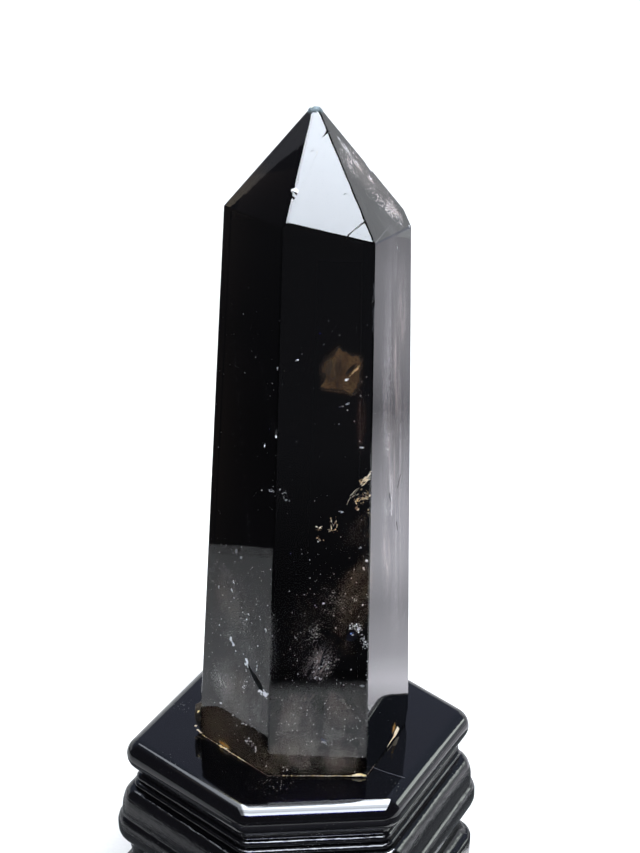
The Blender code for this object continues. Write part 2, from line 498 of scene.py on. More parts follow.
def stand_pieces():
    top_finish = black_lacquer("board lacquer", 0.035, 0.0)
    body_finish = black_lacquer("moulding lacquer", 0.22, 0.7)
    for node_name, name, finish in (
        ("stand_top_board", "lacquered_top_board", top_finish),
        ("stand_moulded_body", "lacquered_moulding", body_finish),
    ):
        piece = own_copy(node_name, name)
        pick(piece)
        bpy.ops.object.shade_smooth_by_angle(angle=math.radians(35))
        even = piece.modifiers.new("even shading", "WEIGHTED_NORMAL")
        even.mode = "FACE_AREA_WITH_ANGLE"
        even.keep_sharp = True
        apply_all(piece)
        dress(piece, [finish], "black_lacquer", node_name)


def outline_reach(outline, run):
    """How far an outline, given as corners around its middle, reaches the way run points."""
    reach = 0.0
    for (ax, ay), (bx, by) in zip(outline, outline[1:] + outline[:1]):
        turn = run.x * (by - ay) - run.y * (bx - ax)
        if abs(turn) < 1e-9:
            continue
        along = (ax * (by - ay) - ay * (bx - ax)) / turn
        share = (ax * run.y - ay * run.x) / turn
        if along > reach and 0.0 <= share <= 1.0:
            reach = along
    return reach


VEIL_WAVE = 0.35
VEIL_COVERED = 0.3
OUTLINED_FILL = 0.9


def veil(name, spot, width, height, turn, finish, seed, thickness=0.25, outline=None):
    """A thin gently waved cloud lying inside a face, with its own coordinates kept as an attribute."""
    bpy.ops.mesh.primitive_ico_sphere_add(subdivisions=6 if outline else 4, radius=1.0)
    obj = bpy.context.object
    obj.name = name
    mesh = obj.data
    fill = OUTLINED_FILL if outline else 1.0
    own = mesh.attributes.new("own_place", "FLOAT_VECTOR", "POINT")
    lie = in_stone(*spot) @ Matrix.Rotation(math.radians(turn), 4, "Z")
    for vert in mesh.vertices:
        x, y, z = vert.co
        own.data[vert.index].vector = (x * fill, y * fill, 0.0)
        wave = VEIL_WAVE * noise.noise(Vector((x * 1.3, y * 1.3, seed)))
        if outline and x * x + y * y > 0.0001:
            reach = outline_reach(outline, Vector((x, y)).normalized())
            x, y = x * reach * 2 / width, y * reach * 2 / height
        place = lie @ Vector((x * width / 2 * MM, y * height / 2 * MM, (z * thickness / 2 + wave) * MM))
        vert.co = keep_inside(place, (VEIL_COVERED - z * thickness / 2) * MM)
    mesh.shade_smooth()
    return dress(obj, [finish])


def one_flake():
    """A small broken sheet, the pattern for every flake: one mesh of twenty faces."""
    bpy.ops.mesh.primitive_ico_sphere_add(subdivisions=1, radius=0.5)
    obj = bpy.context.object
    for vert in obj.data.vertices:
        vert.co *= 1.0 + 0.5 * noise.noise(vert.co * 3.0)
    corners = [vert.co.copy() for vert in obj.data.vertices]
    faces = [tuple(face.vertices) for face in obj.data.polygons]
    bpy.data.objects.remove(obj, do_unlink=True)
    return corners, faces


FLAKE_CORNERS, FLAKE_FACES = one_flake()


EVEN_SPREAD = 20.0
SURFACE_DEPTH = 0.15
FLAKE_COVERED = 0.12 * MM


def flake_cloud(name, groups, finishes, seed, thick=0.1, tip=28, lean=0.0):
    """Many small flakes in one piece.

    Each group is a face, a place on it (along, up, depth), how far the group spreads along and up, how many
    flakes, their least and greatest length, how narrow they are, and which way they point in degrees, if
    they don't point every way. A tall group is spread evenly. Flakes set below the surface are left out
    where they would come near it.
    """
    chance = random.Random(seed)
    bm = bmesh.new()
    for face, along, up, depth, wide, tall, count, short, long, narrow, *point in groups:
        for _ in range(count):
            if tall > EVEN_SPREAD:
                shift = (chance.uniform(-wide, wide) / 2, chance.uniform(-tall, tall) / 2)
            else:
                shift = (chance.gauss(0.0, wide / 2), chance.gauss(0.0, tall / 2))
            lie = in_stone(face, along + shift[0], up + shift[1], depth * chance.uniform(0.6, 1.4))
            if depth > SURFACE_DEPTH and not inside_stone(lie.translation, FLAKE_COVERED):
                continue
            length = short + (long - short) * chance.random() ** 2
            turn = point[0] + chance.uniform(-25, 25) if point else chance.uniform(0, 360)
            lie = lie @ Matrix.Rotation(math.radians(chance.uniform(-tip, tip) - lean), 4, "X")
            lie = lie @ Matrix.Rotation(math.radians(chance.uniform(-tip, tip)), 4, "Y")
            lie = lie @ Matrix.Rotation(math.radians(turn), 4, "Z")
            size = Vector((length, length * narrow * chance.uniform(0.7, 1.3), thick)) * MM
            made = [bm.verts.new(lie @ (corner * size)) for corner in FLAKE_CORNERS]
            kind = chance.randrange(len(finishes))
            for corners in FLAKE_FACES:
                bm.faces.new([made[index] for index in corners]).material_index = kind
    return dress(object_from(bm, name), finishes)


def foot_rim(dull, bright, gold):
    """Broken lip along the front edges of the foot, where the polish ends; its cream and golden flakes are
    painted highlights of light coming through the stone.
    """
    lip = []
    for face, start, end, count in (
        ("left", -12.0, 13.0, 70),
        ("front", -8.2, 15.6, 70),
        ("right", -15.0, -11.0, 10),
    ):
        for step in range(count):
            along = start + (end - start) * step / (count - 1)
            lip.append((face, along, 0.06, 0.02, 0.3, 0.05, 1, 0.3, 1.0, 0.18, 0))
    flake_cloud("foot_rim_dull_lip", lip, [dull], 11, 0.2, 10)
    # Painted highlights: cream and golden flakes where the lip catches light through the stone
    cream = []
    for face, start, end, count, long, narrow in (
        ("left", -12.4, -10.0, 6, 0.8, 0.26),
        ("left", -9.6, -6.0, 5, 0.6, 0.18),
        ("left", -5.4, -1.4, 20, 1.4, 0.28),
        ("left", -1.4, 4.4, 15, 1.0, 0.18),
        ("front", -4.8, 3.0, 17, 0.8, 0.16),
        ("front", 3.0, 11.0, 22, 0.9, 0.16),
        ("front", 9.0, 15.4, 17, 1.1, 0.24),
    ):
        for step in range(count):
            along = start + (end - start) * step / (count - 1)
            cream.append((face, along, 0.10, 0.0, 0.5, 0.10, 1, 0.2, long, narrow, 0))
    flake_cloud("foot_rim_painted_highlight_lip", cream, [bright, bright, gold], 12, 0.25, 12)
    # Painted highlights: golden flakes at the ends of the lip and on the edge of the crust
    flake_cloud("foot_rim_golden_painted_highlight", [
        ("front", 13.6, 0.38, 0.0, 1.6, 0.22, 20, 0.6, 1.8, 0.30, 0),
        ("left", -3.6, 0.25, 0.0, 1.4, 0.15, 10, 0.6, 1.6, 0.30, 0),
    ], [gold, bright], 13, 0.25, 12)
    flake_cloud("crust_golden_painted_highlight", [
        ("left", -13.6, 5.6, -0.2, 0.25, 1.1, 12, 0.5, 1.5, 0.35, 70),
        ("left", -14.6, 1.5, 0.0, 0.3, 0.4, 6, 0.4, 0.8, 0.6),
        ("left", -13.2, 0.5, 0.0, 0.8, 0.2, 8, 0.4, 1.2, 0.3, -20),
    ], [bright, gold], 14, 0.4, 15)


def hairline(name, face, path, width, finish, seed, inset=0.0):
    """A fine crack or needle along a face: a shallow sliver that follows the given places."""
    chance = random.Random(seed)
    bm = bmesh.new()
    rings = []
    for index, (along, up) in enumerate(path):
        before, after = path[max(index - 1, 0)], path[min(index + 1, len(path) - 1)]
        run = Vector((after[0] - before[0], after[1] - before[1])).normalized()
        side = Vector((-run.y, run.x))
        half = width / 2 * (0.15 if index in (0, len(path) - 1) else chance.uniform(0.5, 1.5))
        ring = []
        for share, depth in ((-1, 0.0), (-0.5, -0.04), (0.5, -0.04), (1, 0.0), (0, 0.08)):
            place = in_stone(face, along + side.x * half * share, up + side.y * half * share, depth + inset)
            ring.append(bm.verts.new(place.translation))
        rings.append(ring)
    for one, other in zip(rings, rings[1:]):
        for k in range(5):
            bm.faces.new((one[k], one[(k + 1) % 5], other[(k + 1) % 5], other[k]))
    bm.faces.new(rings[0])
    bm.faces.new(rings[-1])
    bmesh.ops.recalc_face_normals(bm, faces=bm.faces)
    return dress(object_from(bm, name), [finish])


# Corners of the rust cloud around its middle, in mm
RUST_OUTLINE = [
    (-3.5, 3.8), (-4.4, 2.9), (-4.9, 1.5), (-4.8, -0.4), (-4.3, -2.1), (-4.3, -3.2), (-5.3, -4.2),
    (-3.5, -4.8), (-2.0, -5.0), (-0.3, -5.3), (1.0, -5.7), (2.1, -6.0), (3.5, -5.8), (4.4, -4.6),
    (4.9, -2.7), (4.8, -0.5), (5.1, 1.1), (5.0, 2.8), (4.2, 3.8), (2.9, 4.0), (1.4, 4.5),
    (0.2, 5.4), (-0.6, 6.2), (-1.4, 5.2), (-2.5, 4.5),
]


# Each veil finish: pale and dark colour, strength, scale of its streaks and of its grains, where the cover
# begins and is full, and how much of the veil is its solid core; for specks also their fineness and cover
VEIL_FINISHES = {
    "rust cloud": ((0.20, 0.125, 0.058), (0.075, 0.043, 0.02), 0.95, 1.6, 16.0, 0.16, 0.44, 0.66),
    "olive cloud": ((0.16, 0.12, 0.065), (0.08, 0.058, 0.03), 0.4, 1.6, 16.0, 0.22, 0.5, 0.2),
    "reddish flaws": ((0.30, 0.17, 0.13), (0.09, 0.05, 0.04), 0.20, 3.0, 30.0, 0.34, 0.72, 0.0),
    "umber fleck": ((0.04, 0.016, 0.006), (0.01, 0.005, 0.003), 0.9, 2.0, 8.0, 0.25, 0.5, 0.4),
    "umber stain": ((0.10, 0.03, 0.012), (0.035, 0.012, 0.006), 0.5, 2.4, 9.0, 0.36, 0.66, 0.1),
    "brown veil": ((0.48, 0.35, 0.21), (0.16, 0.105, 0.06), 0.70, 3.0, 34.0, 0.34, 0.78, 0.1),
    "faint brown veil": ((0.36, 0.26, 0.17), (0.12, 0.08, 0.05), 0.34, 3.0, 26.0, 0.34, 0.78, 0.0),
    "brown haze": ((0.38, 0.29, 0.19), (0.10, 0.07, 0.045), 0.25, 2.2, 50.0, 0.02, 0.62, 0.5),
    "brown mottling": ((0.46, 0.33, 0.23), (0.12, 0.09, 0.07), 0.46, 1.6, 24.0, 0.40, 0.66, 0.2),
    "brown-grey haze": ((0.62, 0.52, 0.42), (0.22, 0.16, 0.12), 0.42, 2.0, 50.0, 0.22, 0.66, 0.1),
    "pale veil": ((0.92, 0.80, 0.76), (0.34, 0.25, 0.22), 0.66, 6.0, 60.0, 0.40, 0.70, 0.1),
    "grey haze": ((0.98, 0.93, 0.84), (0.34, 0.28, 0.24), 0.55, 2.2, 60.0, 0.38, 0.80, 0.3),
    "cool haze": ((0.74, 0.84, 0.76), (0.30, 0.24, 0.26), 0.38, 2.0, 60.0, 0.38, 0.80, 0.3),
    "white wisps": ((1.0, 0.96, 0.95), (0.62, 0.55, 0.55), 0.9, 5.0, 44.0, 0.40, 0.70, 0.2),
    "rosy wisps": ((0.92, 0.78, 0.74), (0.34, 0.25, 0.24), 0.80, 3.6, 44.0, 0.36, 0.72, 0.2),
    "grey wisps": ((0.36, 0.30, 0.27), (0.10, 0.08, 0.08), 0.55, 3.0, 36.0, 0.34, 0.70, 0.3),
    # Painted light: amber colour in place of light shining through the chipped foot
    "amber glow": ((0.90, 0.50, 0.12), (0.34, 0.16, 0.04), 0.85, 2.5, 20.0, 0.22, 0.60, 0.2),
    "blue-black disc": ((0.001, 0.002, 0.010), (0.001, 0.001, 0.002), 1.0, 1.0, 5.0, 0.0, 0.2, 0.85),
    "pale specks": ((0.95, 0.90, 0.88), (0.60, 0.52, 0.50), 0.9, 2.0, 9.0, 0.25, 0.6, 0.4, (1500.0, 0.46)),
    "fine specks": ((0.98, 0.98, 0.95), (0.55, 0.55, 0.55), 0.9, 2.0, 9.0, 0.25, 0.6, 0.4, (2400.0, 0.42)),
    "soft streaks": ((0.84, 0.80, 0.82), (0.40, 0.33, 0.34), 0.42, 5.0, 30.0, 0.40, 0.66, 0.5),
    "grey streaks": ((0.11, 0.11, 0.12), (0.05, 0.05, 0.055), 0.34, 4.0, 30.0, 0.42, 0.68, 0.5),
}
# The veils on each face: place (along, up, depth), width, height, turn in degrees, finish and seed of the
# waves, and for two of them the thickness and an outline
VEILS = {
    "front": (
        ("rust_cloud", 6.7, 102.5, 2.0, 10.0, 11.0, 0, "rust cloud", 1.0, 0.25, RUST_OUTLINE),
        ("rust_cloud_heart", 8.9, 103.0, 1.5, 1.1, 4.2, -40, "umber fleck", 1.5),
        ("rust_cloud_olive", 4.4, 102.8, 1.7, 5.4, 8.0, 5, "olive cloud", 1.2),
        ("rust_cloud_stain", 6.9, 103.6, 1.6, 3.0, 7.0, -5, "umber stain", 1.7),
        ("rust_cloud_foot_stain", 6.4, 99.0, 1.6, 2.4, 4.5, 8, "umber stain", 1.9),
        ("rust_below_cloud", 11.5, 92.0, 0.8, 2.8, 26.0, 0, "reddish flaws", 2.5),
        ("brown_veil_upper", 11.4, 50.0, 1.8, 10.0, 28.0, -30, "brown veil", 3.0),
        ("brown_veil_lower", 9.2, 39.0, 2.2, 10.0, 30.0, -28, "brown veil", 4.0),
        ("brown_veil_wide", 5.0, 42.0, 3.0, 22.0, 40.0, -36, "faint brown veil", 5.0),
        ("brown_veil_arcs", 12.0, 64.0, 2.0, 9.0, 16.0, -38, "faint brown veil", 5.5),
        ("pale_veil", 3.4, 30.0, 1.2, 10.0, 18.0, -27, "pale veil", 6.0),
        ("pale_veil_specks", 3.2, 29.8, 0.9, 11.0, 19.0, -27, "pale specks", 6.5),
        ("pale_veil_low", 0.5, 22.0, 1.5, 12.0, 12.0, -20, "pale veil", 7.0),
        ("blue_black_disc", 10.8, 37.6, 0.7, 2.9, 3.1, 0, "blue-black disc", 7.5, 0.15),
        ("brown_veil_specks", 6.5, 45.0, 1.0, 20.0, 50.0, -28, "fine specks", 7.7),
        ("haze_front_foot", 1.0, 13.0, 0.9, 26.0, 26.0, 4, "grey haze", 8.0),
        ("haze_front_side", 10.0, 12.0, 1.3, 16.0, 22.0, 12, "cool haze", 8.5),
        ("haze_front_corner", 3.6, 1.6, 1.0, 30.0, 12.0, 2, "brown haze", 9.0),
        ("haze_front_low_left", -1.0, 5.5, 0.7, 15.0, 14.0, -10, "brown-grey haze", 9.1),
        ("haze_front_low_right", 8.6, 4.4, 0.7, 14.0, 11.0, 12, "brown-grey haze", 9.2),
        ("brown_front_corner", -4.6, 5.6, 0.6, 9.0, 11.0, 8, "brown haze", 9.3),
        ("mottling_front_left", -1.4, 16.0, 0.8, 13.0, 20.0, -20, "brown mottling", 9.4),
        ("mottling_front_right", 9.4, 19.0, 0.8, 12.0, 15.0, 24, "brown mottling", 9.5),
        ("specks_front_foot", 4.0, 12.0, 0.6, 26.0, 34.0, 0, "fine specks", 9.6),
    ),
    "left": (
        ("haze_left_foot", 2.0, 17.0, 0.8, 28.0, 26.0, 10, "grey haze", 10.0),
        ("haze_left_middle", 3.0, 36.0, 1.0, 28.0, 36.0, 12, "cool haze", 11.0),
        ("haze_left_upper", -2.0, 43.0, 1.2, 26.0, 22.0, -10, "cool haze", 11.3),
        ("mottling_left_upper", -1.6, 42.0, 0.8, 19.0, 20.0, 28, "brown mottling", 11.4),
        ("mottling_left_lower", 3.4, 17.0, 0.7, 17.0, 18.0, -24, "brown mottling", 11.5),
        ("specks_left_lower", 0.5, 26.0, 0.6, 28.0, 62.0, 0, "fine specks", 11.6),
        ("brown_left_foot", 1.5, 3.4, 0.8, 44.0, 20.0, -12, "brown haze", 12.0),
        # Painted light: amber glow at the left foot
        ("amber_left_foot", -3.6, 1.0, 0.4, 7.0, 2.0, -3, "amber glow", 12.6),
    ),
    "right": (
        # Painted light: amber glow at the right foot
        ("amber_right_foot", 2.4, 3.0, 0.4, 4.4, 3.4, 30, "amber glow", 14.0),
        ("streaks_right_soft", 0.8, 80.0, 0.9, 24.0, 132.0, 2, "soft streaks", 14.4),
        ("streaks_right_shade", -3.0, 84.0, 1.3, 20.0, 124.0, 2, "grey streaks", 14.7),
        ("wisps_right_high", 4.4, 112.0, 0.8, 8.0, 32.0, 2, "rosy wisps", 15.0),
        ("wisps_right_upper", 1.4, 98.0, 0.8, 8.0, 46.0, 2, "rosy wisps", 16.0),
        ("wisps_right_middle", -1.4, 76.0, 0.8, 10.0, 40.0, 4, "rosy wisps", 17.0),
        ("wisps_right_core", -1.6, 71.0, 0.5, 4.6, 24.0, 4, "white wisps", 17.3),
        ("wisps_right_lower", -4.0, 54.0, 0.8, 9.0, 28.0, 8, "rosy wisps", 17.6),
        ("specks_right", 0.0, 76.0, 0.6, 20.0, 110.0, 0, "fine specks", 18.2),
    ),
    "right_crown": (
        ("smoke_crown_right", 4.2, 21.0, 0.9, 11.0, 28.0, 22, "grey wisps", 18.4),
        ("smoke_crown_low", 2.6, 29.0, 0.8, 14.0, 11.0, 30, "grey wisps", 18.6),
        ("wisps_crown_upper", 1.8, 12.4, 0.5, 3.0, 9.0, 14, "white wisps", 18.8),
        ("wisps_crown_middle", 2.7, 16.6, 0.5, 3.6, 7.5, 14, "rosy wisps", 19.0),
        ("wisps_crown_side", 4.9, 20.6, 0.5, 3.0, 5.5, 20, "rosy wisps", 19.3),
        ("wisps_crown_lower", 7.6, 29.2, 0.5, 4.4, 9.5, 28, "rosy wisps", 20.0),
        ("specks_crown_right", 4.0, 22.0, 0.5, 15.0, 36.0, 20, "pale specks", 20.6),
    ),
}


def clouds():
    """Veils and clouds of fine flaws inside the stone."""
    finishes = {name: veil_finish(name, *values) for name, values in VEIL_FINISHES.items()}
    for face, veils in VEILS.items():
        for name, along, up, depth, width, height, turn, finish, *rest in veils:
            veil(name, (face, along, up, depth), width, height, turn, finishes[finish], *rest)


# The glints on each face in turn: place (along, up, depth), spread along and up, how many flakes, least and
# greatest length, how narrow, and which way they point, where they do
GLINTS = (
    ("front", (
        (8.0, 100.8, 0.8, 0.15, 0.15, 3, 0.4, 0.8, 0.8),
        (8.5, 95.3, 0.5, 0.5, 0.15, 5, 0.3, 0.7, 0.5, 20),
        (7.0, 94.6, 0.5, 0.7, 0.3, 6, 0.15, 0.4, 0.5),
        (11.9, 84.9, 0.4, 0.5, 0.15, 6, 0.4, 1.1, 0.3, 15),
        (-3.1, 105.2, 0.6, 0.4, 0.4, 5, 0.2, 0.5, 0.6),
    )),
    ("left", (
        (10.6, 103.2, 0.4, 0.2, 0.9, 4, 0.2, 0.5, 0.5, 90),
        (7.5, 84.4, 0.4, 0.3, 0.9, 5, 0.2, 0.7, 0.4, 80),
        (7.0, 73.0, 0.3, 0.2, 0.2, 3, 0.3, 0.6, 0.7),
        (10.2, 74.0, 0.3, 0.9, 0.9, 12, 0.15, 0.5, 0.6),
    )),
    ("front", (
        (-5.2, 72.6, 0.4, 1.2, 1.4, 16, 0.15, 0.55, 0.6),
        (-6.4, 74.6, 0.4, 0.5, 0.3, 4, 0.15, 0.4, 0.6),
        (7.5, 69.2, 0.4, 0.8, 0.12, 6, 0.25, 0.55, 0.6),
        (2.5, 61.8, 0.4, 0.2, 0.15, 3, 0.3, 0.6, 0.7),
        (13.7, 24.6, 0.3, 0.7, 0.3, 7, 0.3, 0.9, 0.4, 20),
        (11.4, 40.2, 0.4, 1.5, 0.8, 46, 0.08, 0.45, 0.6, -20),
        (12.3, 39.3, 0.4, 0.6, 0.6, 26, 0.15, 0.55, 0.6),
        (13.5, 37.2, 0.3, 0.6, 1.2, 20, 0.08, 0.40, 0.6),
        (14.2, 35.6, 0.3, 0.6, 1.3, 22, 0.12, 0.50, 0.5, -60),
        (11.2, 38.1, 0.3, 0.12, 0.12, 3, 0.3, 0.6, 0.7),
        (12.3, 60.4, 0.4, 0.15, 0.15, 3, 0.2, 0.5, 0.7),
        (13.9, 57.1, 0.3, 0.4, 0.3, 7, 0.3, 0.8, 0.4, 40),
        (13.2, 55.0, 0.3, 0.3, 0.6, 6, 0.2, 0.5, 0.5, 60),
        (6.1, 49.0, 0.4, 0.5, 0.12, 5, 0.2, 0.5, 0.3, 0), (6.2, 48.0, 0.4, 0.1, 0.2, 3, 0.2, 0.6, 0.4, 70),
        (4.0, 46.1, 0.3, 0.2, 0.15, 4, 0.3, 0.6, 0.7),
        (13.2, 45.8, 0.3, 0.15, 0.15, 3, 0.2, 0.5, 0.7),
        (11.5, 47.8, 0.4, 0.8, 1.0, 10, 0.1, 0.35, 0.6),
        (7.1, 39.8, 0.3, 0.15, 0.15, 3, 0.25, 0.5, 0.7),
        (-2.5, 36.9, 0.7, 0.4, 0.4, 5, 0.2, 0.6, 0.7),
        (4.0, 30.0, 0.4, 3.0, 3.0, 40, 0.08, 0.4, 0.6),
        (3.0, 26.6, 0.4, 1.2, 0.6, 12, 0.15, 0.5, 0.5),
    )),
    ("left", (
        (-1.2, 54.7, 0.3, 0.3, 0.7, 9, 0.3, 1.0, 0.5, 75), (0.5, 53.7, 0.6, 0.5, 0.3, 6, 0.3, 0.8, 0.5, 0),
        (-7.2, 43.4, 0.3, 0.15, 0.5, 4, 0.3, 0.6, 0.5, 80),
        (-1.8, 46.5, 0.3, 0.3, 0.5, 6, 0.3, 0.7, 0.5, 120),
        (-2.4, 44.1, 0.3, 0.3, 0.6, 8, 0.4, 1.0, 0.4, 115),
        (-1.4, 42.4, 0.3, 0.15, 0.15, 3, 0.2, 0.5, 0.7),
        (1.8, 39.9, 0.3, 0.15, 0.4, 4, 0.2, 0.5, 0.5, 90),
        (3.8, 40.0, 0.3, 0.6, 0.25, 5, 0.2, 0.5, 0.7),
        (1.2, 37.9, 0.3, 0.15, 0.15, 3, 0.2, 0.5, 0.8),
        (3.3, 38.6, 0.3, 0.15, 0.15, 3, 0.3, 0.5, 0.8),
        (-6.6, 33.2, 0.3, 0.1, 0.1, 3, 0.3, 0.5, 0.8),
        (10.1, 38.3, 0.3, 0.3, 0.6, 8, 0.15, 0.5, 0.7),
        (-2.2, 31.0, 0.2, 0.3, 0.5, 14, 0.6, 1.5, 0.5, 120),
        (-1.2, 30.0, 0.2, 0.3, 0.4, 8, 0.5, 1.2, 0.5, 120),
        (-0.4, 28.4, 0.3, 0.3, 0.8, 8, 0.1, 0.4, 0.6),
        (7.5, 33.2, 0.3, 0.1, 0.1, 2, 0.3, 0.4, 0.8),
        (3.9, 27.2, 0.15, 0.6, 1.3, 22, 0.4, 1.2, 0.5, 110),
        (3.6, 24.9, 0.3, 0.2, 0.4, 6, 0.2, 0.5, 0.5, 100),
        (7.4, 28.0, 0.5, 0.2, 1.4, 8, 0.3, 0.9, 0.4, 90),
        (10.2, 21.7, 0.15, 1.7, 0.7, 40, 0.4, 1.2, 0.6, 15),
        (3.2, 20.3, 0.3, 0.5, 0.9, 10, 0.15, 0.5, 0.7),
        (4.2, 22.0, 0.3, 1.4, 1.2, 12, 0.1, 0.4, 0.7),
        (-5.4, 12.1, 0.3, 0.4, 0.15, 6, 0.3, 0.6, 0.6, 0),
        (-0.7, 10.7, 0.3, 0.4, 0.2, 5, 0.2, 0.5, 0.6, 0), (3.6, 10.2, 0.3, 0.8, 0.3, 9, 0.2, 0.6, 0.5, 20),
        (0.9, 8.5, 0.3, 0.2, 0.15, 4, 0.3, 0.5, 0.8),
        (6.0, 6.0, 0.4, 1.8, 1.2, 22, 0.15, 0.7, 0.6),
        (8.2, 5.4, 0.3, 0.4, 0.6, 8, 0.3, 0.9, 0.5, 120), (12.0, 2.4, 0.3, 0.2, 0.8, 5, 0.1, 0.5, 0.5, 90),
    )),
    ("front", (
        (5.0, 9.0, 0.6, 3.0, 0.6, 10, 0.15, 0.5, 0.5),
        (-4.0, 1.6, 0.4, 0.2, 0.5, 4, 0.2, 0.5, 0.5, 90),
    )),
    ("right", (
        (-2.0, 72.6, 0.4, 0.8, 3.0, 12, 0.3, 1.0, 0.3, 85),
        (-1.2, 67.1, 0.4, 0.8, 3.0, 16, 0.3, 1.3, 0.3, 95),
        (-3.6, 80.7, 0.4, 0.5, 1.0, 8, 0.2, 0.7, 0.5),
        (0.5, 128.0, 0.3, 0.2, 0.3, 4, 0.3, 0.6, 0.7),
    )),
    ("right_crown", (
        (1.1, 9.6, 0.3, 0.15, 0.3, 4, 0.3, 0.8, 0.6, 100),
        (1.7, 12.3, 0.3, 0.5, 1.2, 16, 0.1, 0.5, 0.6),
        (2.7, 16.4, 0.3, 0.6, 1.0, 18, 0.1, 0.6, 0.6),
        (5.2, 20.4, 0.3, 0.4, 0.8, 14, 0.2, 0.7, 0.6),
        (7.6, 29.4, 0.3, 1.0, 2.4, 30, 0.1, 0.6, 0.5),
        (10.6, 34.1, 0.3, 0.3, 0.4, 6, 0.2, 0.6, 0.6),
    )),
)


def glints(frost_and_glint, straw):
    """Cracks and bubbles that catch the window: the mirror flakes reflect it, while the white and straw
    flakes are painted glints.
    """
    silver = flaw_mirror("crack mirror", (0.95, 0.96, 0.98), 0.30)
    gold = flaw_mirror("rusty crack mirror", (0.98, 0.70, 0.36), 0.32)
    blue = flaw_mirror("blue crack mirror", (0.25, 0.38, 0.95), 0.3)
    umber = raw_quartz("umber crack", (0.16, 0.07, 0.03), (0.05, 0.02, 0.01), 0.4)
    spots = [(face, *spot) for face, group in GLINTS for spot in group]
    for face, along, up, wide, tall, count in (
        ("front", 4.0, 60.0, 22.0, 110.0, 170),
        ("front", 5.0, 36.0, 20.0, 50.0, 210),
        ("front", 4.0, 12.0, 22.0, 22.0, 130),
        ("left", 1.0, 60.0, 23.0, 120.0, 140),
        ("left", 1.0, 28.0, 23.0, 54.0, 320),
        ("right", -1.0, 60.0, 24.0, 110.0, 110),
    ):
        spots.append((face, along, up, 0.5, wide, tall, count, 0.05, 0.30, 0.7))
    # Painted glints: white flakes among the mirror flakes
    flake_cloud("inner_glints", spots, [silver, frost_and_glint, frost_and_glint], 21, 0.08, 24, 18)
    # Painted glints: straw flakes beside golden mirrors and umber stains
    flake_cloud("golden_streak", [
        ("front", 11.3, 72.1, 0.6, 1.3, 1.2, 60, 0.12, 0.6, 0.5),
        ("front", 12.5, 72.7, 0.6, 1.1, 0.9, 46, 0.12, 0.6, 0.5),
        ("front", 13.6, 73.5, 0.5, 0.7, 1.1, 30, 0.12, 0.6, 0.5),
        ("front", 11.2, 70.1, 0.5, 0.35, 0.35, 8, 0.4, 0.8, 0.7),
        ("front", 12.6, 76.6, 0.5, 1.0, 0.7, 16, 0.2, 0.8, 0.4, 50),
        ("front", 11.8, 76.9, 0.5, 0.4, 0.3, 7, 0.2, 0.6, 0.5),
        ("front", 12.1, 74.8, 0.5, 0.2, 0.15, 4, 0.3, 0.5, 0.6),
        ("front", 12.8, 68.6, 0.7, 2.0, 1.4, 10, 0.1, 0.4, 0.5),
    ], [gold, straw, umber, umber], 22, 0.1, 28, 14)
    # Painted glints: straw flakes in the golden cluster
    flake_cloud("golden_cluster", [
        ("front", 5.3, 66.9, 0.9, 0.3, 1.4, 12, 0.4, 1.6, 0.22, 85),
        ("front", 6.4, 66.2, 0.9, 0.6, 1.2, 14, 0.3, 1.3, 0.25, 75),
        ("front", 5.2, 64.6, 0.9, 1.4, 0.5, 12, 0.2, 0.9, 0.4, 5),
        ("front", 2.6, 64.8, 1.1, 1.0, 1.0, 14, 0.2, 0.8, 0.5),
        ("front", 2.6, 62.2, 1.0, 1.1, 0.6, 12, 0.15, 0.6, 0.6),
    ], [gold, straw, umber, umber], 23, 0.1, 34, 10)
    flake_cloud("blue_cluster", [
        ("front", 10.8, 38.6, 0.4, 0.5, 0.2, 4, 0.2, 0.6, 0.6),
        ("front", 5.2, 9.4, 1.0, 1.2, 0.5, 5, 0.2, 0.5, 0.6),
    ], [blue], 24)
    # Painted glints: straw needles
    for name, path, width, seed in (
        ("golden_needle_long", [(8.8, 70.9), (9.2, 72.0), (9.6, 72.8)], 0.13, 41),
        ("golden_needle_middle", [(9.9, 73.3), (10.4, 74.2), (11.2, 75.0)], 0.15, 42),
        ("golden_needle_short", [(10.5, 73.5), (11.1, 74.5), (11.6, 75.2)], 0.11, 43),
    ):
        hairline(name, "front", path, width, straw, seed, 0.5)
    # Painted glints: the golden wedge is all straw flakes
    flake_cloud("golden_wedge", [
        ("front", 12.2, 76.2, 0.4, 0.5, 0.5, 10, 0.5, 1.3, 0.18, 50),
        ("front", 13.2, 77.2, 0.4, 0.6, 0.6, 14, 0.7, 2.0, 0.20, 50),
        ("front", 13.8, 78.4, 0.3, 0.4, 0.6, 9, 0.6, 1.6, 0.20, 55),
        ("front", 10.2, 73.2, 0.5, 0.9, 1.0, 9, 0.3, 0.9, 0.15, 55),
    ], [straw], 29, 0.08, 14, 10)
    sliver = [(8.6, 101.4), (9.6, 102.6), (10.3, 103.2), (10.8, 104.0)]
    hairline("rust_cloud_sliver", "front", sliver, 0.55, gold, 45, 1.2)
    # Painted highlight: straw chips at the right foot stand in for light shining through it
    thin_chip = [(-2.4, 0.3), (-0.4, 0.5), (1.6, 0.7), (3.6, 0.9), (4.6, 0.6)]
    hairline("right_foot_chip_glint", "right", thin_chip, 0.30, straw, 46)
    wide_chip = [(1.4, 0.5), (3.0, 1.0), (4.6, 1.3), (5.8, 0.9)]
    hairline("right_foot_chip_glint_wide", "right", wide_chip, 2.2, straw, 47)


TIP_WIDE = 1.60
TIP_TALL = 1.05
TIP_SUNK = 0.94 * MM


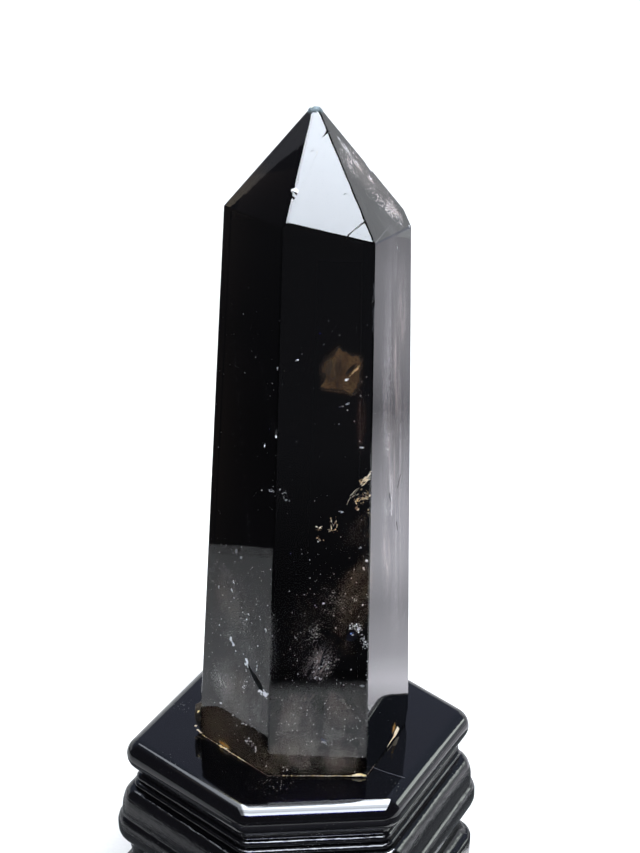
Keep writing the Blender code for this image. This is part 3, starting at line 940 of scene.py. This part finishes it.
def worn_point(finish):
    """The blunted tip: a small glassy dome."""
    bpy.ops.mesh.primitive_ico_sphere_add(subdivisions=4, radius=1.0)
    obj = bpy.context.object
    obj.name = "worn_tip"
    middle = SHARP_POINT - STAND_MIDDLE
    for vert in obj.data.vertices:
        rough = 1.0 + 0.12 * noise.noise(vert.co * 2.1)
        place = Vector((vert.co.x * TIP_WIDE, vert.co.y * TIP_WIDE, vert.co.z * TIP_TALL)) * MM * rough
        vert.co = Vector((middle.x, middle.y, cad_high[2] - TIP_SUNK)) + place
        vert.co.z = min(vert.co.z, cad_high[2])
    obj.data.shade_smooth()
    return dress(obj, [finish])


SCRATCH_WIDE = 0.30
SCRATCH_DEEP = 0.03


def surface_marks(dark, frost_and_glint, scuff):
    """Open cracks, nicks and chips in the polished faces."""
    for name, path, width in (
        ("crown_crack_low", [(3.8, 33.0), (4.2, 32.3), (4.8, 31.5), (5.6, 30.8)], 0.70),
        ("crown_crack_fine", [(5.4, 30.9), (6.1, 30.4), (6.9, 29.9), (7.6, 29.4)], 0.26),
        ("crown_crack_top", [(7.2, 29.6), (7.8, 29.1), (8.4, 28.8), (9.0, 28.6)], 0.85),
        ("crown_crack_branch", [(8.2, 28.6), (8.5, 28.1), (8.7, 27.6)], 0.30),
        ("point_notch", [(1.0, 8.6), (1.5, 7.9), (2.0, 7.5), (2.6, 7.2)], 0.60),
        ("crown_nick", [(4.3, 22.3), (4.7, 22.0), (5.0, 22.0)], 0.42),
        ("crown_pit", [(-2.0, 12.0), (-1.7, 11.8), (-1.4, 11.8)], 0.25),
    ):
        hairline(name, "front_crown", path, width, dark, 31)
    needle_crack = [(4.4, 27.0), (5.6, 25.7), (7.4, 24.2), (9.0, 22.9), (10.2, 22.0)]
    hairline("needle_crack", "left", needle_crack, 1.2, dark, 36)
    for name, path, width in (
        ("side_crack_upper", [(4.5, 71.8), (3.8, 70.9), (3.2, 69.9), (2.4, 68.7)], 0.30),
        ("side_crack_middle", [(-2.9, 69.6), (-2.7, 68.6), (-2.2, 67.6), (-2.0, 66.8)], 0.32),
        ("side_crack_lower", [(1.8, 60.6), (2.2, 59.4), (2.8, 57.6)], 0.26),
    ):
        hairline(name, "right", path, width, dark, 33)
    board_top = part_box("stand_top_board")[1].z
    for name, start, end in (
        ("board_scratch", (20.9, -22.3), (25.7, -24.7)),
        ("board_scratch_end", (17.9, -20.4), (20.9, -22.3)),
    ):
        run = Vector((end[0] - start[0], end[1] - start[1]))
        bpy.ops.mesh.primitive_cube_add(size=1.0)
        scratch = bpy.context.object
        scratch.name = name
        turned = Matrix.Rotation(math.atan2(run.y, run.x), 4, "Z")
        middle = Vector(((start[0] + end[0]) / 2 * MM, (start[1] + end[1]) / 2 * MM, board_top))
        for vert in scratch.data.vertices:
            spot = Vector((vert.co.x * run.length, vert.co.y * SCRATCH_WIDE, vert.co.z * SCRATCH_DEEP)) * MM
            vert.co = middle + turned @ spot
        dress(scratch, [scuff])
    # Painted glints: white flakes on the chipped crown edges, partly frosted quartz and partly light caught
    # by the chips
    flake_cloud("crown_edge_chip_glints", [
        ("left_crown", 6.1, 21.2, -0.1, 0.9, 0.5, 16, 0.4, 1.1, 0.6),
    ], [frost_and_glint], 25, 0.2)
    flake_cloud("crown_side_chip_glints", [
        ("right_crown", 7.6, 18.4, 0.0, 0.5, 1.4, 12, 0.3, 0.9, 0.6),
    ], [frost_and_glint], 26, 0.2)


# Studio

CAMERA_PLACE = Vector((3.0, -337.4, 252.9)) * MM
CAMERA_PITCH = 20.63
CAMERA_ROLL = 1.30
CAMERA_LENS = 63.3


def camera():
    data = bpy.data.cameras.new("camera")
    data.lens = CAMERA_LENS
    data.sensor_width = 36.0
    data.clip_start = 0.01
    obj = add_object("camera", data)
    obj.matrix_world = (
        Matrix.Translation(CAMERA_PLACE)
        @ Matrix.Rotation(math.radians(90 - CAMERA_PITCH), 4, "X")
        @ Matrix.Rotation(math.radians(CAMERA_ROLL), 4, "Z")
    )
    bpy.context.scene.camera = obj


def softbox(name, place, aim, size, radiance, colour=(1.0, 1.0, 1.0)):
    """A flat soft light whose face shows the given brightness."""
    data = bpy.data.lights.new(name, "AREA")
    data.shape = "RECTANGLE"
    data.size, data.size_y = size
    data.energy = radiance * math.pi * size[0] * size[1]
    data.color = colour
    obj = add_object(name, data)
    obj.location = place
    obj.rotation_euler = (Vector(aim) - Vector(place)).to_track_quat("-Z", "Y").to_euler()
    return obj


def card(name, corners, mat):
    """A flat stage card that shows only in the polish of the object."""
    mesh = bpy.data.meshes.new(name)
    mesh.from_pydata([Vector(corner) for corner in corners], [], [tuple(range(len(corners)))])
    mesh.materials.append(mat)
    obj = add_object(name, mesh)
    obj.visible_camera = obj.visible_diffuse = obj.visible_shadow = False
    return obj


def card_material(name):
    """A stage card's material with an empty tree."""
    mat = bpy.data.materials.new(name)
    mat.use_nodes = True
    mat.node_tree.nodes.clear()
    return mat, mat.node_tree


def own_axes(tree):
    """The object's own coordinates, one output for each axis."""
    split = add_node(tree, "ShaderNodeSeparateXYZ")
    tree.links.new(object_coords(tree), split.inputs[0])
    return split.outputs


def glow(tree, colour, strength):
    light = add_node(tree, "ShaderNodeEmission")
    put(tree, light.inputs["Color"], colour)
    put(tree, light.inputs["Strength"], strength)
    return light.outputs[0]


def over_clear(tree, share, shader):
    """A shader that covers clear film as far as share says."""
    mix = add_node(tree, "ShaderNodeMixShader")
    tree.links.new(share, mix.inputs[0])
    tree.links.new(add_node(tree, "ShaderNodeBsdfTransparent").outputs[0], mix.inputs[1])
    tree.links.new(shader, mix.inputs[2])
    return mix.outputs[0]


def put_out(tree, shader):
    tree.links.new(shader, add_node(tree, "ShaderNodeOutputMaterial").inputs["Surface"])


def plain_light_finish(name, colour, strength):
    mat, tree = card_material(name)
    put_out(tree, glow(tree, colour, strength))
    return mat


def dark_card_finish(name, solid_from, soft_over, axis, near, far):
    """Dark paper whose near edge fades out, so that the white floor ends softly in the polish.

    Near and far are places along the axis and how much light the paper gives back there.
    """
    mat, tree = card_material(name)
    place = own_axes(tree)[axis]
    share = remap(tree, place, solid_from, solid_from + soft_over, 1.0, 0.0, smooth=True)
    paper = glow(tree, (0.85, 0.88, 1.05), remap(tree, place, far[0], near[0], far[1], near[1]))
    put_out(tree, over_clear(tree, share, paper))
    return mat


def glow_card_finish():
    """Dim light that one crown face picks up: warm below, cool above."""
    mat, tree = card_material("glow card")
    up = remap(tree, own_axes(tree)[2], 0.49, 0.535)
    put_out(tree, glow(tree, mix_colour(tree, up, (1.04, 0.90, 0.74), (0.45, 0.46, 0.53)), 1.0))
    return mat


def shade_card_finish(name, axis, near, far):
    """Painted shade over the floor as the polish shows it: near and far are places along the axis and how
    much it hides there.
    """
    mat, tree = card_material(name)
    share = remap(tree, own_axes(tree)[axis], far[0], near[0], far[1], near[1])
    put_out(tree, over_clear(tree, share, glow(tree, (1.0, 1.0, 1.0), 0.0)))
    return mat


# How bright the floor behind on the right shows in the polish: metres along the diagonal, brightness
FLOOR_TONES = (
    (0.060, 0.5), (0.085, 2.5), (0.099, 1.65), (0.125, 1.25), (0.152, 1.75), (0.189, 1.65), (0.233, 1.16),
    (0.285, 0.58), (0.340, 0.96), (0.393, 1.10), (0.495, 1.16), (0.560, 1.00),
)
TONES_END = 0.6
TONES_TOP = 2.5
TONES_COLOUR = (TONES_TOP * 0.95, TONES_TOP * 0.945, TONES_TOP * 1.03)


def floor_tone_finish():
    """The floor behind on the right as the polish shows it, in soft bands of light and shade."""
    mat, tree = card_material("floor tones")
    place = own_axes(tree)
    along = maths(tree, "MULTIPLY", maths(tree, "ADD", place[0], place[1]), 0.5 / TONES_END)
    ramp = add_node(tree, "ShaderNodeValToRGB")
    put(tree, ramp.inputs["Fac"], along)
    steps = ramp.color_ramp.elements
    steps.remove(steps[0])
    for index, (distance, tone) in enumerate(FLOOR_TONES):
        step = steps[0] if index == 0 else steps.new(distance / TONES_END)
        step.position = distance / TONES_END
        level = tone / TONES_TOP
        step.color = (level, level, level, 1.0)
    tint = mix_colour(tree, ramp.outputs["Color"], (0.0, 0.0, 0.0), TONES_COLOUR)
    put_out(tree, glow(tree, tint, 1.0))
    return mat


def sweep():
    """Pale floor that curves up behind the object."""
    mat, tree, shader = new_material("stage paper")
    set_plain(shader, Roughness=0.9)
    fibres = noise_at(tree, object_coords(tree), 900.0, 3.0)
    tone = remap(tree, fibres, 0.3, 0.7)
    put(tree, shader.inputs["Base Color"], mix_colour(tree, tone, (0.80, 0.81, 0.83), (0.84, 0.85, 0.87)))
    bpy.ops.mesh.primitive_plane_add(size=1.0)
    obj = bpy.context.object
    obj.name = "sweep"
    obj.scale = (5.0, 4.0, 1.0)
    obj.location = (0.0, -1.2, 0.0)
    pick(obj)
    bpy.ops.object.transform_apply(location=True, rotation=False, scale=True)
    bpy.ops.object.mode_set(mode="EDIT")
    bpy.ops.mesh.select_mode(type="EDGE")
    bpy.ops.mesh.select_all(action="DESELECT")
    bpy.ops.object.mode_set(mode="OBJECT")
    for edge in obj.data.edges:
        edge.select = all(obj.data.vertices[v].co.y > 0.5 for v in edge.vertices)
    bpy.ops.object.mode_set(mode="EDIT")
    bpy.ops.mesh.extrude_region_move(TRANSFORM_OT_translate={"value": (0.0, 0.05, 0.56)})
    bpy.ops.object.mode_set(mode="OBJECT")
    bevel = obj.modifiers.new("curve", "BEVEL")
    bevel.width = 0.25
    bevel.segments = 12
    apply_all(obj)
    bpy.ops.object.shade_smooth()
    obj.data.materials.append(mat)


def world():
    """Pale surroundings for the camera; for reflections a dim room, lighter behind and above the object."""
    scene_world = bpy.data.worlds.new("studio")
    bpy.context.scene.world = scene_world
    scene_world.use_nodes = True
    tree = scene_world.node_tree
    tree.nodes.clear()
    split = add_node(tree, "ShaderNodeSeparateXYZ")
    tree.links.new(add_node(tree, "ShaderNodeTexCoord").outputs["Generated"], split.inputs[0])
    behind = remap(tree, split.outputs[1], 0.1, 0.5, 0.0, 1.0, smooth=True)
    pale = add_node(tree, "ShaderNodeBackground")
    pale.inputs["Color"].default_value = (0.96, 0.98, 1.0, 1.0)
    pale.inputs["Strength"].default_value = 1.25
    dim = add_node(tree, "ShaderNodeBackground")
    put(tree, dim.inputs["Color"], mix_colour(tree, behind, (0.075, 0.075, 0.09), (0.30, 0.35, 0.48)))
    mix = add_node(tree, "ShaderNodeMixShader")
    path = add_node(tree, "ShaderNodeLightPath")
    sees = maths(tree, "MAXIMUM", path.outputs["Is Camera Ray"], path.outputs["Is Diffuse Ray"])
    tree.links.new(sees, mix.inputs[0])
    tree.links.new(dim.outputs[0], mix.inputs[1])
    tree.links.new(pale.outputs[0], mix.inputs[2])
    tree.links.new(mix.outputs[0], add_node(tree, "ShaderNodeOutputWorld").inputs["Surface"])


FLOOR_ENDS_FRONT = -0.160
FLOOR_ENDS_LEFT = -0.252
FAR = 2.0
CARD_LIFT = 0.001
WINDOW_HEIGHT = 0.62
WINDOW_RADIANCE = 20.8
WALL = 0.79
WALL_CARD = 0.785


def flat_card(name, left, right, front, back, height, mat):
    corners = [(left, front, height), (right, front, height), (right, back, height), (left, back, height)]
    return card(name, corners, mat)


def wall_card(name, left, right, behind, low, high, mat):
    corners = [(left, behind, low), (right, behind, low), (right, behind, high), (left, behind, high)]
    return card(name, corners, mat)


def window_finish():
    """Bright daylight panel above the object: dimmer on its left, brightest at its front and back ends."""
    mat, tree = card_material("window light")
    place = own_axes(tree)
    across = remap(tree, place[0], -0.30, -0.12, 0.13, 1.0, smooth=True)
    forward = remap(tree, place[1], -0.30, -0.20, 0.76, 1.0, smooth=True)
    front_end = remap(tree, place[1], -0.40, -0.34, 1.9, 1.0, smooth=True)
    back_end = remap(tree, place[1], -0.12, -0.06, 1.0, 1.9, smooth=True)
    ends = maths(tree, "MULTIPLY", front_end, back_end)
    level = maths(tree, "MULTIPLY", maths(tree, "MULTIPLY", across, forward), ends)
    daylight = maths(tree, "MULTIPLY", level, WINDOW_RADIANCE)
    put_out(tree, glow(tree, (0.90, 0.965, 1.06), daylight))
    return mat


def studio():
    sweep()
    world()
    front_paper = dark_card_finish(
        "front dark card", FLOOR_ENDS_FRONT - 0.006, 0.012, 1, (-0.25, 0.055), (-0.42, 0.125)
    )
    left_paper = dark_card_finish(
        "left dark card", FLOOR_ENDS_LEFT - 0.001, 0.002, 0, (-0.40, 0.042), (-0.9, 0.068)
    )
    # Painted shade: dim cards that show in the polish as the shaded floor close round the stand
    near_shade_finish = plain_light_finish("near floor painted shade", (0.85, 0.92, 1.0), 0.22)
    flat_card("dark_card_front", -FAR, FAR, -FAR, FLOOR_ENDS_FRONT + 0.02, CARD_LIFT, front_paper)
    flat_card("dark_card_left", -FAR, FLOOR_ENDS_LEFT + 0.01, -FAR, FAR, 2 * CARD_LIFT, left_paper)
    near_front_shade_finish = dark_card_finish("near front floor painted shade", 0.0, 0.01, 1, (-0.046, 0.05), (-0.112, 0.50))
    flat_card("near_shade_card_front", -0.12, 0.10, -0.112, -0.044, CARD_LIFT, near_front_shade_finish)
    flat_card("near_shade_card_left", -0.082, -0.048, -0.044, 0.06, CARD_LIFT, near_shade_finish)
    flat_card("near_shade_card_right", 0.048, 0.115, -0.12, 0.05, CARD_LIFT, near_shade_finish)
    left_painted_shade = shade_card_finish("floor shade left", 0, (-0.12, 0.36), (FLOOR_ENDS_LEFT, 0.60))
    flat_card("floor_shade_left", FLOOR_ENDS_LEFT - 0.004, -0.085, -FAR, FAR, CARD_LIFT, left_painted_shade)
    front_painted_shade = shade_card_finish("floor shade front", 1, (-0.112, 0.30), (FLOOR_ENDS_FRONT, 0.34))
    painted_shade_front = FLOOR_ENDS_FRONT - 0.012
    flat_card("floor_shade_front", -0.14, 0.12, painted_shade_front, -0.112, 1.5 * CARD_LIFT, front_painted_shade)
    flat_card("floor_tones_right", 0.0, 0.62, 0.052, WALL, CARD_LIFT, floor_tone_finish())
    far_shade = plain_light_finish("far floor", (0.88, 0.92, 1.08), 1.0)
    flat_card("floor_far_right", 0.62, 2.4, -0.3, WALL, CARD_LIFT, far_shade)
    upper_shade = plain_light_finish("upper backdrop shade", (0.30, 0.33, 0.45), 1.0)
    wall_card("backdrop_upper_shade", -0.40, 0.45, WALL_CARD, 0.36, 0.60, upper_shade)
    wall_card("backdrop_shade_right", 0.68, 1.80, WALL, 0.0, 0.24, far_shade)
    glow_corners = [
        (-0.45, 0.0836, 0.480), (-0.45, 0.130, 0.480), (-0.45, 0.130, 0.620), (-0.45, 0.0968, 0.620),
    ]
    card("glow_card", glow_corners, glow_card_finish())
    flat_card("window_panel", -0.45, 0.38, -0.62, 0.36, WINDOW_HEIGHT, window_finish())
    blue_light = plain_light_finish("blue sill", (0.05, 0.05, 1.0), 9.0)
    flat_card("window_sill", -0.22, 0.27, -0.695, -0.62, WINDOW_HEIGHT, blue_light)
    warm_light = plain_light_finish("warm head", (0.9, 0.88, 0.60), 14.0)
    flat_card("window_head", -0.22, 0.27, 0.36, 0.43, WINDOW_HEIGHT, warm_light)
    side = softbox("right_window", (0.95, 0.42, 0.38), (0, 0, 0.05), (0.25, 0.25), 6.0, (0.92, 1.0, 0.94))
    side.visible_diffuse = False
    fill = softbox("overhead_softbox", (0.24, 0.14, 0.50), (0.1, 0.05, 0), (0.35, 0.35), 6.5)
    fill.visible_glossy = False
    fill.visible_transmission = False
    wash = softbox("backdrop_wash", (0.60, 0.35, 0.75), (0.66, 0.8, 0.42), (0.4, 0.2), 3.0)
    wash.visible_glossy = False
    wash.visible_transmission = False
    bpy.context.scene.view_settings.view_transform = "Standard"


rusty_crust = raw_quartz("rusty crust", (0.022, 0.016, 0.010), (0.004, 0.0035, 0.0035), 0.7, 0.1)
bare_lip = raw_quartz("bare quartz lip", (0.11, 0.08, 0.065), (0.03, 0.022, 0.02), 0.55, 0.2)
# Painted highlights: the cream and golden lip colours stand in for light coming through the foot
cream_lip_highlight = raw_quartz("cream quartz lip painted highlight", (0.98, 0.93, 0.80), (0.80, 0.66, 0.50))
golden_lip_highlight = raw_quartz("golden lip painted highlight", (0.98, 0.82, 0.42), (0.80, 0.56, 0.18))
# Painted glints: white and straw colours stand in for cracks catching the light, besides real frosting
frosted_and_glinting = raw_quartz("frosted crack", (0.97, 0.98, 1.0), (0.80, 0.81, 0.86), 0.35)
straw = raw_quartz("straw crack painted glint", (1.0, 0.93, 0.76), (0.85, 0.66, 0.40), 0.35)
crystal_point(rusty_crust)
worn_point(worn_tip_painted_reflection())
stand_pieces()
foot_rim(bare_lip, cream_lip_highlight, golden_lip_highlight)
clouds()
glints(frosted_and_glinting, straw)
open_crack = raw_quartz("open crack", (0.010, 0.011, 0.012), (0.003, 0.003, 0.003), 0.75, 0.0)
lacquer_scuff = raw_quartz("lacquer scuff", (0.040, 0.040, 0.048), (0.012, 0.012, 0.016), 0.75, 0.05)
surface_marks(open_crack, frosted_and_glinting, lacquer_scuff)
studio()
camera()
